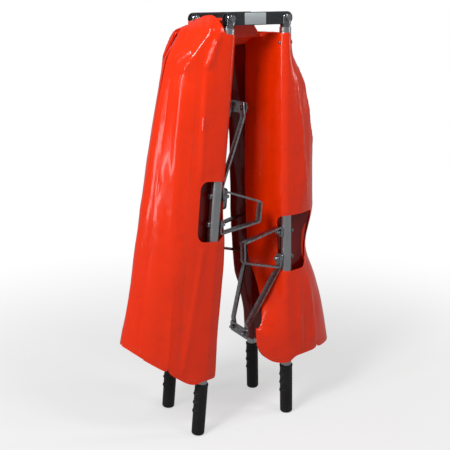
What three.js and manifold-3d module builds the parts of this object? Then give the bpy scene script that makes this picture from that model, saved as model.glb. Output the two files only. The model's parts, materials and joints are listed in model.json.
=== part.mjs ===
// Folding stretcher, standing folded on its four handles.
// Millimetres, +Z up. X runs along the hinge bars, Y runs from the front poles to the back poles.
// Each half (left, right) is drawn in its own frame: the origin on the fold axis, the poles along -Z,
// and it is then leaned outwards about Y. "Down" is a distance along a pole from its fold axis.
import * as THREE from 'three';
import { mergeVertices } from 'three/addons/utils/BufferGeometryUtils.js';
import Module from 'manifold-3d';

const wasm = await Module();
wasm.setup();

// ---- Driving dimensions -------------------------------------------------------------------
const pivotSpacing = 143;        // between the two fold axes, along a hinge bar
const poleReach = 966;           // from the fold axis to the end of the handle
const leanLeft = 5.08;           // degrees that the left half stands out from upright
const leanRight = 1.34;          // the same for the right half
const gap = 0.3;                 // between pieces that touch

// Spreading linkage: the same lengths drive the spreader arms and the cover, so both keep in step.
const armLength = 205;           // from a pole to the middle piece
const middleLength = 57;         // the middle piece, between its two pivots
const poleSpacing = 166;         // between front and back poles, folded

const poleRadius = 13.3;
const poleWall = 1.6;
const poleTop = 20;
const poleEnd = 957;

const handleRadius = 15.5;
const handleTop = 838;
const handleRound = 6;           // radius of the handle's bottom edge

const barHeight = 28;
const barDepth = 17;
const barWall = 2.5;

const hingeBoltRadius = 4;
const boltRadius = 4;            // bolts through the poles
const plateBoltRadius = 3.5;

const strapWidth = 18;           // width of the feet's and arms' flat bar
const strapThickness = 4.2;
const footDepth = 118;           // from the pole's axis to the middle of the foot's outer side
const footBoltSpacing = 65;
const footBoltTopLeft = 390;     // upper bolt of a left foot
const footBoltTopRight = 494.5;  // upper bolt of a right foot, so that folded feet pass each other

const armTabOffset = 16;         // from the pole's axis to the middle of the arm's first tab
const armFarOffset = 82;         // the same for the tab at the middle piece
const armTabReach = 23;          // from a pivot to the bend where the arm leaves its tab
const plateThickness = 3;
const plateWidth = 26;

const sleeveInner = 13.7;
const sleeveOuter = 15.2;
const coverTop = 34;
const coverBottom = 824;
const windowAbove = 36;          // the sleeve's window starts this far above the foot's upper bolt
const windowBelow = 36;          // and ends this far below the lower bolt

const panelThickness = 2;
const panelTop = 42;
const panelBottom = 806;
const crossingHalfLength = 100;  // the cover's crossing over the fold, along X
const crossingInset = middleLength / 2;

const roundSegments = 24;
const smallSegments = 12;

// ---- Derived places -----------------------------------------------------------------------
const radians = THREE.MathUtils.degToRad;
const foldedSin = (poleSpacing - middleLength) / (2 * armLength);
const foldedAngle = Math.asin(foldedSin);       // of an arm or wing, from its folded-flat direction
const armRise = armLength * Math.cos(foldedAngle);

// Height of the centre of a leaning handle's end when its rounded edge rests on the ground.
function endHeight(lean) {
  const flatRadius = handleRadius - handleRound;
  return flatRadius * Math.sin(lean) + handleRound * (1 - Math.cos(lean));
}

function pivotHeight(leanDegrees) {
  const lean = radians(leanDegrees);
  return poleReach * Math.cos(lean) + endHeight(lean);
}

const barTilt = Math.asin((pivotHeight(leanRight) - pivotHeight(leanLeft)) / pivotSpacing);
const pivotHalfX = pivotSpacing / 2 * Math.cos(barTilt);
const barCentreHeight = (pivotHeight(leanLeft) + pivotHeight(leanRight)) / 2;

// side: -1 left, +1 right, which is also the way out from between the halves. row: -1 front, +1 back.
const sides = [
  { name: 'left', side: -1, lean: radians(leanLeft), footBolt: footBoltTopLeft },
  { name: 'right', side: 1, lean: -radians(leanRight), footBolt: footBoltTopRight },
];
const rows = [
  { name: 'front', row: -1 },
  { name: 'back', row: 1 },
];

// ---- Materials ----------------------------------------------------------------------------
function material(color, roughness, metalness) {
  return new THREE.MeshStandardMaterial({ color, roughness, metalness });
}

const aluminium = () => material(0xb4b7ba, 0.38, 1);
const darkChrome = () => material(0x34393d, 0.16, 1);
const blackPaint = () => material(0x20272a, 0.42, 0.3);
const zincSteel = () => material(0x9d9fa6, 0.3, 1);
const blackRubber = () => material(0x141516, 0.75, 0);
const orangeCover = () => material(0xf23a0c, 0.32, 0);
const blankLabel = () => material(0x8f9a9e, 0.5, 0.2);

// ---- Joining and cutting ------------------------------------------------------------------
function toSolid(geometry) {
  const bare = geometry.clone();
  bare.deleteAttribute('normal');
  bare.deleteAttribute('uv');
  const merged = mergeVertices(bare, 1e-4);
  return new wasm.Manifold(new wasm.Mesh({
    numProp: 3,
    vertProperties: new Float32Array(merged.attributes.position.array),
    triVerts: new Uint32Array(merged.index.array),
  }));
}

function toGeometry(solid) {
  const mesh = solid.getMesh();
  const geometry = new THREE.BufferGeometry();
  geometry.setAttribute('position', new THREE.BufferAttribute(mesh.vertProperties, 3));
  geometry.setIndex(new THREE.BufferAttribute(mesh.triVerts, 1));
  return geometry;
}

function cut(base, tools) {
  return toGeometry(tools.reduce((solid, tool) => solid.subtract(toSolid(tool)), toSolid(base)));
}

function join(parts) {
  const [first, ...rest] = parts.map(toSolid);
  return toGeometry(rest.reduce((solid, part) => solid.add(part), first));
}

// ---- Basic shapes -------------------------------------------------------------------------
function cylinderZ(radius, low, high, segments = roundSegments) {
  const geometry = new THREE.CylinderGeometry(radius, radius, high - low, segments);
  return geometry.rotateX(Math.PI / 2).translate(0, 0, (low + high) / 2);
}

function cylinderX(radius, low, high, z, segments = smallSegments) {
  const geometry = new THREE.CylinderGeometry(radius, radius, high - low, segments);
  return geometry.rotateZ(Math.PI / 2).translate((low + high) / 2, 0, z);
}

function cylinderY(radius, low, high, x = 0, segments = smallSegments) {
  const geometry = new THREE.CylinderGeometry(radius, radius, high - low, segments);
  return geometry.translate(x, (low + high) / 2, 0);
}

function boxBetween(low, high) {
  const size = high.map((value, axis) => value - low[axis]);
  const middle = high.map((value, axis) => (value + low[axis]) / 2);
  return new THREE.BoxGeometry(...size).translate(...middle);
}

// A solid turned about Z, from [radius, z] points that start and end on the axis.
function turned(profile, segments = roundSegments) {
  const points = profile.map(([radius, z]) => new THREE.Vector2(radius, z));
  return new THREE.LatheGeometry(points, segments).rotateX(Math.PI / 2);
}

// A flat bar bent along a line of corners in the XZ plane. Its width lies along Y.
function bentStrap(corners, bendRadius, thickness = strapThickness, width = strapWidth) {
  const points = corners.map(([x, z]) => new THREE.Vector2(x, z));
  const bendSteps = 4;
  const centre = [points[0]];
  for (let i = 1; i < points.length - 1; i += 1) {
    const before = points[i - 1].clone().sub(points[i]).normalize();
    const after = points[i + 1].clone().sub(points[i]).normalize();
    const halfAngle = Math.acos(THREE.MathUtils.clamp(before.dot(after), -1, 1)) / 2;
    const tangent = bendRadius / Math.tan(halfAngle);
    const start = points[i].clone().addScaledVector(before, tangent);
    const end = points[i].clone().addScaledVector(after, tangent);
    const bend = new THREE.QuadraticBezierCurve(start, points[i], end);
    centre.push(...bend.getPoints(bendSteps));
  }
  centre.push(points[points.length - 1]);
  const left = [];
  const right = [];
  centre.forEach((point, i) => {
    const from = centre[Math.max(i - 1, 0)];
    const to = centre[Math.min(i + 1, centre.length - 1)];
    const along = to.clone().sub(from).normalize();
    const across = new THREE.Vector2(-along.y, along.x).multiplyScalar(thickness / 2);
    left.push(point.clone().add(across));
    right.unshift(point.clone().sub(across));
  });
  const outline = new THREE.Shape([...left, ...right]);
  const geometry = new THREE.ExtrudeGeometry(outline, { depth: width, bevelEnabled: false });
  return geometry.rotateX(Math.PI / 2).translate(0, width / 2, 0);
}

// A hexagon bolt along X: shank, head at the low end and nut at the high end, with a bolt tail.
function boltX(radius, headFace, nutFace, z) {
  const headRadius = radius * 1.75;
  const headHeight = radius * 1.1;
  const tail = radius * 1.4;
  return join([
    cylinderX(radius, headFace - 1, nutFace + headHeight + tail, z),
    cylinderX(headRadius, headFace - headHeight, headFace, z, 6),
    cylinderX(headRadius, nutFace, nutFace + headHeight * 1.2, z, 6),
  ]);
}

function mesh(name, geometry, finish) {
  const object = new THREE.Mesh(geometry, finish);
  object.name = name;
  return object;
}

// ---- Pole, knuckle, handle and sleeve -----------------------------------------------------
// These are drawn with the inside of the object towards +X; the left half uses them as they are
// and the right half turns them round (see inwards).
function poleShape(boltHeights) {
  const outer = cylinderZ(poleRadius, -poleEnd, -poleTop);
  const bore = cylinderZ(poleRadius - poleWall, -poleEnd - 1, -poleTop + 1);
  const holes = boltHeights.map((z) => cylinderX(boltRadius + gap, -30, 30, z));
  return cut(outer, [bore, ...holes]);
}

// The domed fork that plugs into the pole and straddles the hinge bar.
function knuckleShape() {
  const plugRadius = poleRadius - poleWall - gap;
  const neckRadius = 11.6;
  const neckTop = -14.9;
  const domeSteps = 5;
  const profile = [
    [0, -poleTop - 26],
    [plugRadius, -poleTop - 26],
    [plugRadius, -poleTop + gap],
    [neckRadius, -poleTop + gap],
    [neckRadius, neckTop - 1],
    [poleRadius, neckTop + 1],
    [poleRadius, 0],
  ];
  for (let i = 1; i <= domeSteps; i += 1) {
    const turn = (i / domeSteps) * Math.PI / 2;
    profile.push([i === domeSteps ? 0 : poleRadius * Math.cos(turn), poleRadius * Math.sin(turn)]);
  }
  const slotHalf = barDepth / 2 + gap;
  const slotBottom = -barHeight / 2 - 0.6;
  const slot = boxBetween([-40, -slotHalf, slotBottom], [40, slotHalf, 40]);
  const hole = cylinderY(hingeBoltRadius + gap, -40, 40);
  return cut(turned(profile), [slot, hole]);
}

function handleShape() {
  const bore = poleRadius + gap;
  const roundSteps = 4;
  const profile = [[0, -poleReach], [handleRadius - handleRound, -poleReach]];
  for (let i = 1; i <= roundSteps; i += 1) {
    const turn = (i / roundSteps) * Math.PI / 2;
    profile.push([
      handleRadius - handleRound + handleRound * Math.sin(turn),
      -poleReach + handleRound - handleRound * Math.cos(turn),
    ]);
  }
  const lip = 1;
  profile.push([handleRadius, -handleTop - lip], [handleRadius - lip, -handleTop]);
  profile.push([bore, -handleTop], [bore, -poleEnd - gap], [0, -poleEnd - gap]);
  return turned(profile);
}

// The cover's sleeve round a pole, with the window that leaves room for the foot.
// Behind the window a strip of the sleeve stays, on the side towards the other pole.
function sleeveShape(upperBolt, row) {
  const tube = cylinderZ(sleeveOuter, -coverBottom, -coverTop);
  const bore = cylinderZ(sleeveInner, -coverBottom - 1, -coverTop + 1);
  const windowTop = -(upperBolt - windowAbove);
  const windowBottom = -(upperBolt + footBoltSpacing + windowBelow);
  const stripFrom = 8;
  const window = row < 0
    ? boxBetween([-30, -30, windowBottom], [30, stripFrom, windowTop])
    : boxBetween([-30, -stripFrom, windowBottom], [30, 30, windowTop]);
  return cut(tube, [bore, window]);
}

// ---- Foot, arms and middle plates ---------------------------------------------------------
// A foot is one flat bar bent to a trapezoid. Its tab at the arm's bolt stands off from the pole
// by the arm's thickness, and the other tab lies on the pole.
function footShape(upperBolt, armBoltIsUpper) {
  const onPole = poleRadius + gap + strapThickness / 2;
  const offPole = armTabOffset + strapThickness + gap;
  const topX = armBoltIsUpper ? offPole : onPole;
  const bottomX = armBoltIsUpper ? onPole : offPole;
  const tabTop = -upperBolt + 12;
  const lowerBolt = upperBolt + footBoltSpacing;
  const strap = bentStrap([
    [topX, -upperBolt - 11],
    [topX, tabTop],
    [footDepth, -upperBolt - 13],
    [footDepth, -lowerBolt + 5],
    [bottomX, -lowerBolt - 22],
    [bottomX, -lowerBolt + 11],
  ], 5);
  const holes = [upperBolt, lowerBolt].map((down) => cylinderX(boltRadius + gap, 0, 60, -down));
  return cut(strap, holes);
}

// A spreader arm, drawn from its pole pivot at the origin upwards along +Z, and cranked inwards.
function armShape() {
  const tabBeyond = 10;
  const strap = bentStrap([
    [armTabOffset, -tabBeyond],
    [armTabOffset, armTabReach],
    [armFarOffset, armLength - armTabReach],
    [armFarOffset, armLength + tabBeyond],
  ], 12);
  const holes = [
    cylinderX(boltRadius + gap, 0, 40, 0),
    cylinderX(plateBoltRadius + gap, 60, 110, armLength),
  ];
  return cut(strap, holes);
}

function plateShape() {
  const near = armFarOffset + strapThickness / 2 + gap;
  const halfWidth = plateWidth / 2;
  const halfLength = middleLength / 2 + 13;
  const corner = 3;
  const outline = new THREE.Shape();
  outline.moveTo(-halfLength + corner, -halfWidth);
  outline.lineTo(halfLength - corner, -halfWidth);
  outline.lineTo(halfLength, -halfWidth + corner);
  outline.lineTo(halfLength, halfWidth - corner);
  outline.lineTo(halfLength - corner, halfWidth);
  outline.lineTo(-halfLength + corner, halfWidth);
  outline.lineTo(-halfLength, halfWidth - corner);
  outline.lineTo(-halfLength, -halfWidth + corner);
  const slab = new THREE.ExtrudeGeometry(outline, { depth: plateThickness, bevelEnabled: false });
  slab.applyMatrix4(new THREE.Matrix4().makeBasis(
    new THREE.Vector3(0, 1, 0),
    new THREE.Vector3(0, 0, 1),
    new THREE.Vector3(1, 0, 0),
  ));
  slab.translate(near, 0, 0);
  const holes = [-1, 1].map((row) => (
    cylinderX(plateBoltRadius + gap, 60, 110, 0).translate(0, row * middleLength / 2, 0)
  ));
  return cut(slab, holes);
}

// ---- Hinge bar ----------------------------------------------------------------------------
// A channel, open below, with its ends rounded about the fold axes. Its middle is the origin.
function barShape() {
  const half = pivotSpacing / 2;
  const radius = barHeight / 2;
  const outline = new THREE.Shape();
  outline.absarc(half, 0, radius, -Math.PI / 2, Math.PI / 2, false);
  outline.absarc(-half, 0, radius, Math.PI / 2, Math.PI * 1.5, false);
  const solid = new THREE.ExtrudeGeometry(outline, {
    depth: barDepth,
    bevelEnabled: false,
    curveSegments: 10,
  });
  solid.rotateX(Math.PI / 2).translate(0, barDepth / 2, 0);
  const insideHalf = barDepth / 2 - barWall;
  const inside = boxBetween([-120, -insideHalf, -40], [120, insideHalf, radius - barWall]);
  const holes = [-half, half].map((x) => cylinderY(hingeBoltRadius + gap, -40, 40, x));
  return cut(solid, [inside, ...holes]);
}

// The fold axis: a round-headed bolt through the knuckle's ears, with its nut at the back.
function hingeBoltShape() {
  const face = poleRadius + 0.4;
  const headRadius = 6.4;
  const headHeight = 3.2;
  const nutHeight = 5;
  const tail = 4;
  return join([
    cylinderY(hingeBoltRadius, -face - 1, face + nutHeight + tail),
    cylinderY(headRadius, -face - headHeight, -face, 0, roundSegments),
    cylinderY(headRadius, face, face + nutHeight, 0, 6),
  ]);
}

function labelShape() {
  const halfLength = 27;
  const halfHeight = barHeight / 2 - 1.5;
  const front = -barDepth / 2 - gap;
  return boxBetween([-halfLength, front - 0.5, -halfHeight], [halfLength, front, halfHeight]);
}

// ---- Cover panels -------------------------------------------------------------------------
// A flat panel of the cover from its hinge line at the origin, along +X, with a clear margin at
// each end where it turns against its neighbour.
function wingPanel(length, nearMargin, farMargin, low, high) {
  const half = panelThickness / 2;
  return boxBetween([nearMargin, -half, low], [length - farMargin, half, high]);
}

// ---- Assembly -----------------------------------------------------------------------------
const stretcher = new THREE.Group();

// Turns a shape that is drawn with the inside of the object towards +X to face inwards.
function inwards(object, side) {
  if (side > 0) object.rotation.z = Math.PI;
  return object;
}

function buildPole(half, rowInfo, into) {
  const { name, side, footBolt } = half;
  const { name: rowName, row } = rowInfo;
  const tag = `${rowName}_${name}`;
  const corner = new THREE.Group();
  corner.position.y = row * poleSpacing / 2;
  into.add(corner);
  const facing = inwards(new THREE.Group(), side);
  corner.add(facing);
  // Turning a right-hand piece round also swaps its front and back.
  const drawnRow = side > 0 ? -row : row;
  const lowerBolt = footBolt + footBoltSpacing;
  const armBoltIsUpper = side < 0;
  facing.add(mesh(`pole_${tag}`, poleShape([-footBolt, -lowerBolt]), aluminium()));
  facing.add(mesh(`knuckle_${tag}`, knuckleShape(), darkChrome()));
  facing.add(mesh(`handle_${tag}`, handleShape(), blackRubber()));
  facing.add(mesh(`sleeve_${tag}`, sleeveShape(footBolt, drawnRow), orangeCover()));
  facing.add(mesh(`foot_${tag}`, footShape(footBolt, armBoltIsUpper), zincSteel()));
  const onPoleFace = poleRadius + strapThickness + 2 * gap;
  const offPoleFace = armTabOffset + strapThickness * 1.5 + 2 * gap;
  const headFace = -poleRadius - gap;
  const upperNut = armBoltIsUpper ? offPoleFace : onPoleFace;
  const lowerNut = armBoltIsUpper ? onPoleFace : offPoleFace;
  const upperBoltSolid = boltX(boltRadius, headFace, upperNut, -footBolt);
  const lowerBoltSolid = boltX(boltRadius, headFace, lowerNut, -lowerBolt);
  facing.add(mesh(`foot_bolt_upper_${tag}`, upperBoltSolid, zincSteel()));
  facing.add(mesh(`foot_bolt_lower_${tag}`, lowerBoltSolid, zincSteel()));
}

// The left arms fold upwards from the upper bolt and the right arms downwards from the lower one.
function buildSpreader(half, into) {
  const { name, side, footBolt } = half;
  const up = side < 0 ? 1 : -1;
  const pivotDown = side < 0 ? footBolt : footBolt + footBoltSpacing;
  for (const { name: rowName, row } of rows) {
    const arm = mesh(`spreader_arm_${rowName}_${name}`, armShape(), zincSteel());
    const swing = new THREE.Group();
    swing.position.set(0, row * poleSpacing / 2, -pivotDown);
    // Up and towards the middle for the left half, down and towards the middle for the right.
    swing.rotation.x = up > 0 ? row * foldedAngle : Math.PI - row * foldedAngle;
    if (side > 0) arm.rotation.z = Math.PI;
    swing.add(arm);
    into.add(swing);
  }
  const middle = new THREE.Group();
  middle.position.z = -pivotDown + up * armRise;
  into.add(middle);
  const facing = inwards(new THREE.Group(), side);
  middle.add(facing);
  facing.add(mesh(`spreader_plate_${name}`, plateShape(), zincSteel()));
  const headFace = armFarOffset - strapThickness / 2 - gap;
  const nutFace = armFarOffset + strapThickness / 2 + plateThickness + 2 * gap;
  for (const { name: rowName, row } of rows) {
    const bolt = mesh(
      `plate_bolt_${rowName}_${name}`,
      boltX(plateBoltRadius, headFace, nutFace, 0),
      zincSteel(),
    );
    bolt.position.y = (side > 0 ? -row : row) * middleLength / 2;
    facing.add(bolt);
  }
}

// The cover of one half hangs outwards as a loop: a wing from each pole and a strip between them.
function buildCover(half, into) {
  const { name, side } = half;
  const nearMargin = 24;
  const farMargin = 4;
  for (const { name: rowName, row } of rows) {
    const panel = wingPanel(armLength, nearMargin, farMargin, -panelBottom, -panelTop);
    const wing = mesh(`cover_wing_${rowName}_${name}`, panel, orangeCover());
    wing.position.y = row * poleSpacing / 2;
    const directionX = side * Math.cos(foldedAngle);
    const directionY = -row * Math.sin(foldedAngle);
    wing.rotation.z = Math.atan2(directionY, directionX);
    into.add(wing);
  }
  const halfStrip = middleLength / 2 - farMargin;
  const strip = boxBetween(
    [-panelThickness / 2, -halfStrip, -panelBottom],
    [panelThickness / 2, halfStrip, -panelTop],
  );
  const stripMesh = mesh(`cover_strip_${name}`, strip, orangeCover());
  stripMesh.position.x = side * armRise;
  into.add(stripMesh);
}

for (const half of sides) {
  const halfGroup = new THREE.Group();
  const pivotZ = half.side < 0 ? pivotHeight(leanLeft) : pivotHeight(leanRight);
  halfGroup.position.set(half.side * pivotHalfX, 0, pivotZ);
  halfGroup.rotation.y = half.lean;
  stretcher.add(halfGroup);
  for (const rowInfo of rows) buildPole(half, rowInfo, halfGroup);
  buildSpreader(half, halfGroup);
  buildCover(half, halfGroup);
}

// Hinge bars, their bolts, the blank plate on the front bar, and the cover's pleated crossing.
const bars = new THREE.Group();
bars.position.z = barCentreHeight;
bars.rotation.y = -barTilt;
stretcher.add(bars);

for (const { name: rowName, row } of rows) {
  const bar = mesh(`hinge_bar_${rowName}`, barShape(), blackPaint());
  bar.position.y = row * poleSpacing / 2;
  bars.add(bar);
  for (const { name: sideName, side } of sides) {
    const bolt = mesh(`hinge_bolt_${rowName}_${sideName}`, hingeBoltShape(), zincSteel());
    bolt.position.set(side * pivotSpacing / 2, row * poleSpacing / 2, 0);
    if (row > 0) bolt.rotation.z = Math.PI;
    bars.add(bolt);
  }
}
const labelOffset = -11.5;
const label = mesh('bar_label_front', labelShape(), blankLabel());
label.position.set(labelOffset, -poleSpacing / 2, 0);
bars.add(label);

// The crossing is pleated like a fan between the bars, so that it opens as wide as the cover.
const pleatShares = [52, 68, 85, 85, 68, 52];
const pleatScale = 2 * armLength / pleatShares.reduce((sum, share) => sum + share, 0);
const pleatMargin = 5;
let pleatY = -poleSpacing / 2 + crossingInset;
let pleatZ = 0;
pleatShares.forEach((share, i) => {
  const length = share * pleatScale;
  const way = i % 2 === 0 ? -1 : 1;
  const half = panelThickness / 2;
  const panel = boxBetween(
    [-crossingHalfLength, -half, pleatMargin],
    [crossingHalfLength, half, length - pleatMargin],
  );
  const pleat = mesh(`cover_crossing_${i + 1}`, panel, orangeCover());
  pleat.position.set(0, pleatY, pleatZ);
  pleat.rotation.x = way > 0 ? -foldedAngle : Math.PI + foldedAngle;
  bars.add(pleat);
  pleatY += length * Math.sin(foldedAngle);
  pleatZ += way * length * Math.cos(foldedAngle);
});

// The origin is under the middle of the object, on the ground.
const extent = new THREE.Box3().setFromObject(stretcher, true);
stretcher.position.set(
  -(extent.min.x + extent.max.x) / 2,
  -(extent.min.y + extent.max.y) / 2,
  -extent.min.z,
);

const part = new THREE.Group();
part.add(stretcher);
export default part;
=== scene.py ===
import json
import math

import bpy
import numpy as np
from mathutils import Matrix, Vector, noise


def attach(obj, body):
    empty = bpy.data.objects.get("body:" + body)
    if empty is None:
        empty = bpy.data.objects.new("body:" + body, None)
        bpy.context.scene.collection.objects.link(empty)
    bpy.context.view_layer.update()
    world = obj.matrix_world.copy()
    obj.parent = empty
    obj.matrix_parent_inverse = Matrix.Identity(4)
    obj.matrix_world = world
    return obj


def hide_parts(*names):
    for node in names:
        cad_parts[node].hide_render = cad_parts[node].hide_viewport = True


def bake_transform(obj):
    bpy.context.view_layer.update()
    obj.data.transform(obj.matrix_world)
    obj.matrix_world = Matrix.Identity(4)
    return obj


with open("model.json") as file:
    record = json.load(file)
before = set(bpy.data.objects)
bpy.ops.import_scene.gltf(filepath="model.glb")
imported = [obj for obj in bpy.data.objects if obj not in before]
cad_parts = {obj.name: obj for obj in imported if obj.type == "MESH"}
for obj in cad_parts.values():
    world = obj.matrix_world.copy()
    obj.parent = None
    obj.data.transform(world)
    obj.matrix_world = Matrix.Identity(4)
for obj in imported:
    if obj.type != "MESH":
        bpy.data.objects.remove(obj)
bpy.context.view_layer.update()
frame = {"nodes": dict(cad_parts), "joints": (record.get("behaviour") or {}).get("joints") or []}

MM = 0.001
JOINTS = {joint["name"]: joint for joint in frame["joints"]}
ROWS = {"front": -1, "back": 1}
POLE_RADIUS = 13.3
SLEEVE_RADIUS = 14.6
ARM_LENGTH = 205
STRIP_LENGTH = 57


def joint_point(name):
    return np.array(JOINTS[name]["pos_m"]) / MM


def joint_axis(name):
    return np.array(JOINTS[name]["axis"])


POLE_Y = abs(joint_point("fold_left")[1])


class Half:
    """One folded half: measured down its poles from the fold axis, and out from the other half."""

    def __init__(self, side, down, out):
        pivot = joint_point("fold_" + side)
        self.side = side
        self.origin = np.array([pivot[0], 0.0, pivot[2]])
        self.down = down
        self.out = out

    def place(self, down, out, across):
        """Points in metres, from millimetres down the half, out of it and across from front to back."""
        down, out, across = np.broadcast_arrays(down, out, across)
        points = self.origin + down[..., None] * self.down + out[..., None] * self.out
        points[..., 1] += across
        return points * MM

    def vector(self, down, out, across):
        return Vector(self.place(float(down), float(out), float(across)))


HALVES = {
    "left": Half("left", joint_axis("spread"), joint_axis("arm_front_left_turn")),
    "right": Half("right", -joint_axis("cover_wing_front_right_turn"), joint_axis("arm_front_right_turn")),
}


def smoothstep(x):
    x = np.clip(x, 0.0, 1.0)
    return x * x * (3 - 2 * x)


def profile(knots, x):
    """A smooth curve through (x, value) knots, level beyond the ends, without overshoot."""
    xs, ys = np.array(knots, float).T
    slope = np.diff(ys) / np.diff(xs)
    tangent = np.zeros(len(xs))
    for i in range(1, len(xs) - 1):
        if slope[i - 1] * slope[i] > 0:
            tangent[i] = 2 * slope[i - 1] * slope[i] / (slope[i - 1] + slope[i])
    tangent[0], tangent[-1] = slope[0], slope[-1]
    x = np.clip(np.asarray(x, float), xs[0], xs[-1])
    i = np.clip(np.searchsorted(xs, x) - 1, 0, len(xs) - 2)
    span = xs[i + 1] - xs[i]
    t = (x - xs[i]) / span
    return (
        (2 * t**3 - 3 * t**2 + 1) * ys[i]
        + (t**3 - 2 * t**2 + t) * span * tangent[i]
        + (3 * t**2 - 2 * t**3) * ys[i + 1]
        + (t**3 - t**2) * span * tangent[i + 1]
    )


# ---- Camera, floor and light ---------------------------------------------------------------
CAMERA_AZIMUTH, CAMERA_ELEVATION = -28.9, 14.0
CAMERA_DISTANCE_M = 2.04
CAMERA_TARGET_M = Vector((-0.002, 0.016, 0.4775))
LENS_MM = 67.3
WORLD_LIGHT = 0.22


def direction_from(azimuth, elevation):
    a, e = math.radians(azimuth), math.radians(elevation)
    return Vector((math.sin(a) * math.cos(e), -math.cos(a) * math.cos(e), math.sin(e)))


def aim(obj, target):
    obj.rotation_euler = (Vector(target) - obj.location).to_track_quat("-Z", "Y").to_euler()


def link(obj):
    bpy.context.scene.collection.objects.link(obj)
    return obj


def make_camera():
    data = bpy.data.cameras.new("camera")
    data.lens = LENS_MM
    data.clip_start = 0.05
    camera = link(bpy.data.objects.new("camera", data))
    camera.location = CAMERA_TARGET_M + CAMERA_DISTANCE_M * direction_from(CAMERA_AZIMUTH, CAMERA_ELEVATION)
    aim(camera, CAMERA_TARGET_M)
    bpy.context.scene.camera = camera


def make_softbox(name, azimuth, elevation, distance_m, size_m, watts):
    data = bpy.data.lights.new(name, "AREA")
    data.shape = "RECTANGLE"
    data.size, data.size_y = size_m
    data.energy = watts
    light = link(bpy.data.objects.new(name, data))
    middle = Vector((0, 0, 0.5))
    light.location = middle + distance_m * direction_from(azimuth, elevation)
    aim(light, middle)


def make_world():
    """White for the camera, dimmer as a source, so that the glossy cover keeps its colour."""
    world = bpy.data.worlds.new("studio")
    world.use_nodes = True
    tree = world.node_tree
    background = tree.nodes["Background"]
    background.inputs["Color"].default_value = (1.0, 1.0, 1.0, 1)
    path = tree.nodes.new("ShaderNodeLightPath")
    level = tree.nodes.new("ShaderNodeMath")
    level.operation = "MULTIPLY_ADD"
    level.inputs[1].default_value = 1.0 - WORLD_LIGHT
    level.inputs[2].default_value = WORLD_LIGHT
    tree.links.new(path.outputs["Is Camera Ray"], level.inputs[0])
    tree.links.new(level.outputs[0], background.inputs["Strength"])
    bpy.context.scene.world = world
    bpy.context.scene.view_settings.view_transform = "Standard"


# ---- Materials -----------------------------------------------------------------------------
class Shader:
    """A node material with short calls for the nodes that the finishes below share."""

    def __init__(self, name):
        self.material = bpy.data.materials.new(name)
        self.material.use_nodes = True
        self.tree = self.material.node_tree
        self.principled = self.tree.nodes["Principled BSDF"]

    def node(self, kind, **settings):
        made = self.tree.nodes.new("ShaderNode" + kind)
        for key, value in settings.items():
            setattr(made, key, value)
        return made

    def connect(self, source, target):
        self.tree.links.new(source, target)

    def set(self, **values):
        for key, value in values.items():
            self.principled.inputs[key.replace("_", " ")].default_value = value

    def drive(self, socket, source):
        self.connect(source, self.principled.inputs[socket])

    def place(self, scale=(1, 1, 1)):
        """Object coordinates in metres, scaled."""
        mapping = self.node("Mapping")
        mapping.inputs["Scale"].default_value = scale
        self.connect(self.node("TexCoord").outputs["Object"], mapping.inputs["Vector"])
        return mapping.outputs["Vector"]

    def noise(self, scale, detail=4.0, rough=0.55, vector=None, distortion=0.0):
        made = self.node("TexNoise")
        made.inputs["Scale"].default_value = scale
        made.inputs["Detail"].default_value = detail
        made.inputs["Roughness"].default_value = rough
        made.inputs["Distortion"].default_value = distortion
        self.connect(vector or self.place(), made.inputs["Vector"])
        return made.outputs["Fac"]

    def cells(self, scale, feature="F1", vector=None, output="Distance"):
        made = self.node("TexVoronoi", feature=feature)
        made.inputs["Scale"].default_value = scale
        self.connect(vector or self.place(), made.inputs["Vector"])
        return made.outputs[output]

    def ramp(self, source, *stops):
        made = self.node("ValToRGB")
        elements = made.color_ramp.elements
        while len(elements) < len(stops):
            elements.new(0.5)
        for element, (position, value) in zip(elements, stops):
            element.position = position
            element.color = (*value, 1) if isinstance(value, tuple) else (value, value, value, 1)
        self.connect(source, made.inputs["Fac"])
        return made.outputs["Color"]

    def mix(self, factor, first, second):
        """Colour mix; first and second are colours or sockets, factor is a number or a socket."""
        made = self.node("Mix", data_type="RGBA")
        for index, value in ((0, factor), (6, first), (7, second)):
            if isinstance(value, bpy.types.NodeSocket):
                self.connect(value, made.inputs[index])
            elif index == 0:
                made.inputs[index].default_value = value
            else:
                made.inputs[index].default_value = (*value, 1)
        return made.outputs[2]

    def math(self, operation, first, second=0.0, third=None):
        made = self.node("Math", operation=operation)
        for index, value in enumerate((first, second, third)):
            if isinstance(value, bpy.types.NodeSocket):
                self.connect(value, made.inputs[index])
            elif value is not None:
                made.inputs[index].default_value = value
        return made.outputs["Value"]

    def attribute(self, name):
        return self.node("Attribute", attribute_name=name).outputs["Fac"]

    def bump(self, height, strength, depth_mm, below=None):
        made = self.node("Bump")
        made.inputs["Strength"].default_value = strength
        made.inputs["Distance"].default_value = depth_mm * MM
        self.connect(height, made.inputs["Height"])
        if below is not None:
            self.connect(below, made.inputs["Normal"])
        return made.outputs["Normal"]


def aluminium_tube():
    """Drawn tube: fine lines along its length, soft cloudy oxide and a few rubbed spots."""
    m = Shader("aluminium_tube")
    m.set(Metallic=1.0, IOR=1.4)
    lines = m.noise(1.0, 3, 0.6, m.place((1400, 1400, 9)))
    cloud = m.noise(22, 5, 0.6)
    tone = m.mix(lines, (0.40, 0.41, 0.43), (0.60, 0.61, 0.63))
    oxide = m.ramp(cloud, (0.45, 0.0), (0.75, 0.45))
    m.drive("Base Color", m.mix(oxide, tone, (0.30, 0.31, 0.33)))
    m.drive("Roughness", m.math("MULTIPLY_ADD", cloud, 0.22, 0.22))
    m.drive("Normal", m.bump(lines, 0.12, 0.05))
    return m.material


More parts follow.
